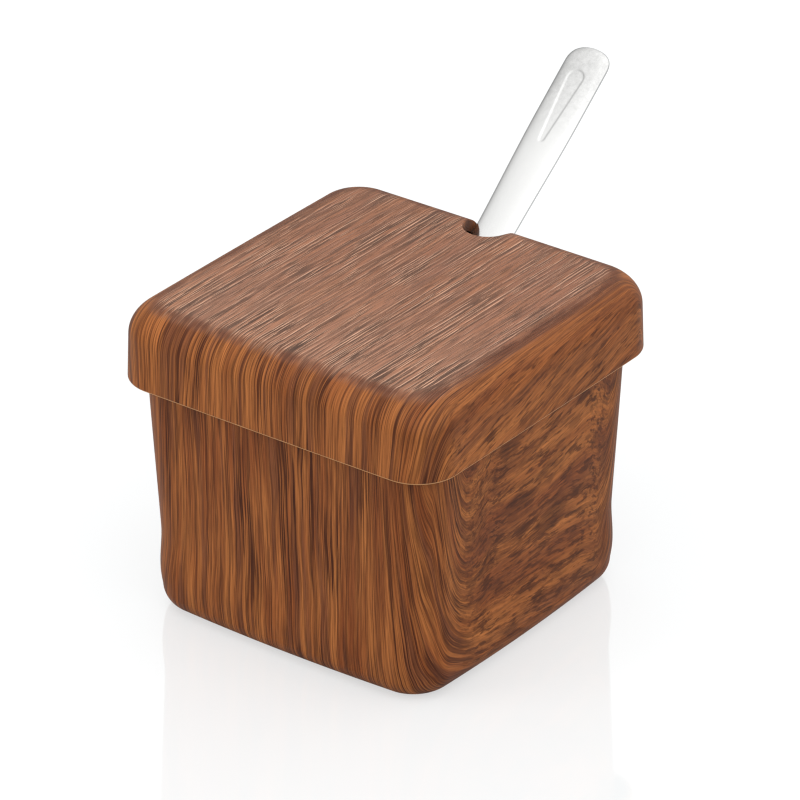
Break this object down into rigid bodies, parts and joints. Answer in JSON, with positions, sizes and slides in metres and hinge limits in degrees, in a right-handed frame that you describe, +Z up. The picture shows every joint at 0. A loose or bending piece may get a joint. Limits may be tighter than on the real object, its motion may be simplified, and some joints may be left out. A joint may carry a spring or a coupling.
{
  "type": "sugar bowl",
  "caption": "Small square sugar bowl with an overlapping rounded lid, a U-shaped spoon slot in the lid's back edge and a polished steel spoon.",
  "frame": {"origin": "centre of the flat underside of the bowl", "axes": "+Z up through the lid; +Y towards the spoon slot and the leaning handle; +X to the right seen from the front (-Y) side"},
  "size_m": [0.095, 0.1343, 0.1136],
  "materials": {
    "wood_print_body": "satin moulded plastic with a printed wood grain, golden brown with dark red-brown streaks",
    "wood_print_lid": "satin moulded plastic with a printed wood grain, fine lines with a faint relief on top",
    "steel_spoon": "polished stainless steel, pressed, with a sunken teardrop near the end of the handle"
  },
  "bodies": {
    "bowl": {"bowl": "wood_print_body"},
    "lid": {"lid": "wood_print_lid"},
    "spoon": {"spoon": "steel_spoon"}
  },
  "joints": [
    {"name": "lid_lift", "type": "slide", "parent": "bowl", "child": "lid", "axis": [0, 0, 1], "range_m": [0, 0.09]},
    {"name": "spoon_tip", "type": "hinge", "parent": "bowl", "child": "spoon", "pos_m": [0, 0.043, 0.07531], "axis": [-1, 0, 0], "range_deg": [0, 11]}
  ]
}
